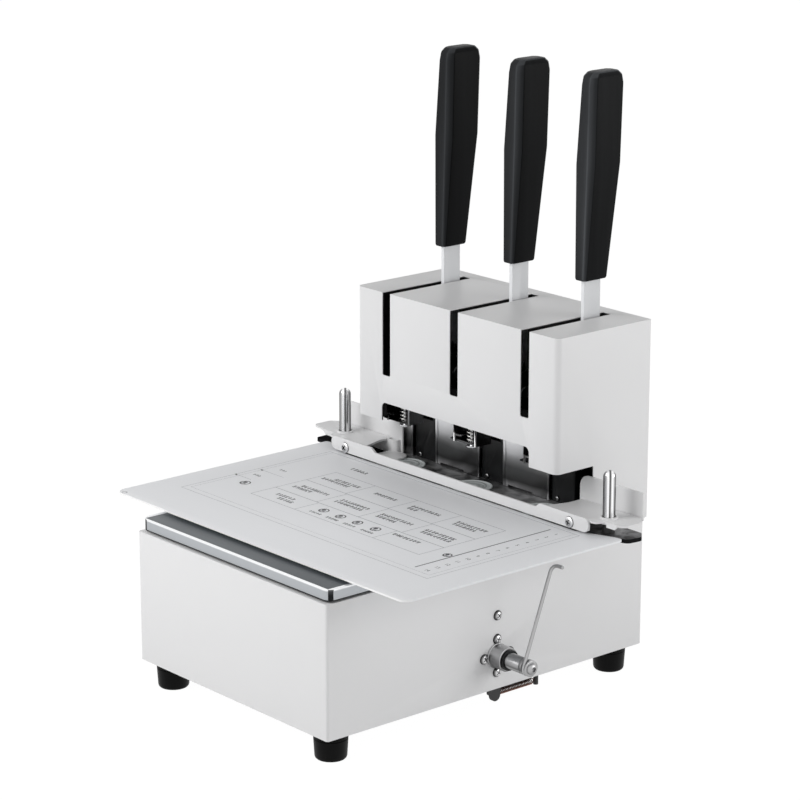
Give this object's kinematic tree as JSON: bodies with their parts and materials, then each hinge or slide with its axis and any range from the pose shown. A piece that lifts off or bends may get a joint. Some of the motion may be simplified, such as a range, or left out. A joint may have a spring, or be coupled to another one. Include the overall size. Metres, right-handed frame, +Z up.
{
  "type": "binding machine",
  "caption": "Desk binding machine: a paper table, a lifting press bar and a row of hand levers that drive needles down through the stack by rack and pinion.",
  "frame": {"origin": "under the middle of the machine's overall box, on the surface it stands on", "axes": "+Z up, -Y towards the front edge of the paper table, +X to the right of someone who stands there"},
  "size_m": [0.3648, 0.3176, 0.4707],
  "materials": {
    "white_paint": "satin",
    "table_paint": "satin",
    "slab_finish": "satin",
    "dark_steel": "satin",
    "black_finish": "satin",
    "stainless": "brushed",
    "chrome": "polished",
    "zinc": "satin",
    "grip_plastic": "satin",
    "rubber": "matte",
    "pad_plastic": "satin",
    "spring_steel": "polished",
    "copper_steel": "satin"
  },
  "bodies": {
    "machine": {"base_cabinet": "white_paint", "guide_bracket_left": "white_paint", "guide_bracket_right": "white_paint", "hood": "white_paint", "back_cover": "white_paint", "work_table": "table_paint", "slab_plate": "slab_finish", "bed_plate": "dark_steel", "column_1": "black_finish", "column_2": "black_finish", "column_3": "black_finish", "bush_ring": "black_finish", "stop_plate_left": "stainless", "stop_plate_mid_1": "stainless", "stop_plate_mid_2": "stainless", "guide_post_left": "chrome", "guide_post_right": "chrome", "column_screw_1": "chrome", "column_screw_2": "chrome", "column_screw_3": "chrome", "base_floor": "zinc", "lever_axle_1": "zinc", "lever_axle_2": "zinc", "lever_axle_3": "zinc", "side_boss": "zinc", "foot_1": "rubber", "foot_2": "rubber", "foot_3": "rubber", "foot_4": "rubber", "pad_1": "pad_plastic", "pad_2": "pad_plastic", "pad_3": "pad_plastic", "return_spring": "copper_steel"},
    "lever_1": {"lever_strip_1": "white_paint", "pinion_1": "dark_steel", "lever_grip_1": "grip_plastic"},
    "needle_carrier_1": {"carrier_1": "dark_steel", "needle_1": "chrome", "carrier_spring_1": "spring_steel"},
    "lever_2": {"lever_strip_2": "white_paint", "pinion_2": "dark_steel", "lever_grip_2": "grip_plastic"},
    "needle_carrier_2": {"carrier_2": "dark_steel", "needle_2": "chrome", "carrier_spring_2": "spring_steel"},
    "lever_3": {"lever_strip_3": "white_paint", "pinion_3": "dark_steel", "lever_grip_3": "grip_plastic"},
    "needle_carrier_3": {"carrier_3": "dark_steel", "needle_3": "chrome", "carrier_spring_3": "spring_steel"},
    "press_frame": {"press_bar": "white_paint", "end_plate_left": "white_paint", "end_plate_right": "white_paint", "press_screw_left": "chrome", "press_screw_right": "chrome"},
    "side_arm": {"arm_shaft": "zinc", "arm_wire": "zinc", "arm_screw": "chrome"}
  },
  "joints": [
    {"name": "lever_swing_1", "type": "hinge", "parent": "machine", "child": "lever_1", "pos_m": [-0.07495, 0.1252, 0.21], "axis": [1, 0, 0], "range_deg": [0, 80], "stiffness_Nm_per_rad": 0.3, "springref_deg": -17.19},
    {"name": "lever_swing_2", "type": "hinge", "parent": "machine", "child": "lever_2", "pos_m": [0.00505, 0.1252, 0.21], "axis": [1, 0, 0], "range_deg": [0, 80], "stiffness_Nm_per_rad": 0.3, "springref_deg": -17.19},
    {"name": "lever_swing_3", "type": "hinge", "parent": "machine", "child": "lever_3", "pos_m": [0.08505, 0.1252, 0.21], "axis": [1, 0, 0], "range_deg": [0, 80], "stiffness_Nm_per_rad": 0.3, "springref_deg": -17.19},
    {"name": "carrier_slide_1", "type": "slide", "parent": "machine", "child": "needle_carrier_1", "axis": [0, 0, -1], "range_m": [0, 0.0304]},
    {"name": "carrier_slide_2", "type": "slide", "parent": "machine", "child": "needle_carrier_2", "axis": [0, 0, -1], "range_m": [0, 0.0304]},
    {"name": "carrier_slide_3", "type": "slide", "parent": "machine", "child": "needle_carrier_3", "axis": [0, 0, -1], "range_m": [0, 0.0304]},
    {"name": "press_lift", "type": "slide", "parent": "machine", "child": "press_frame", "axis": [0, 0, 1], "range_m": [0, 0.025]},
    {"name": "side_arm_swing", "type": "hinge", "parent": "machine", "child": "side_arm", "pos_m": [0.11825, 0.0052, 0.048], "axis": [1, 0, 0], "range_deg": [-35, 0], "stiffness_Nm_per_rad": 0.05, "springref_deg": 20.05}
  ],
  "couplings": [
    {"joint": "carrier_slide_1", "follows": "lever_swing_1", "m_per_rad": 0.02175},
    {"joint": "carrier_slide_2", "follows": "lever_swing_2", "m_per_rad": 0.02175},
    {"joint": "carrier_slide_3", "follows": "lever_swing_3", "m_per_rad": 0.02175}
  ]
}
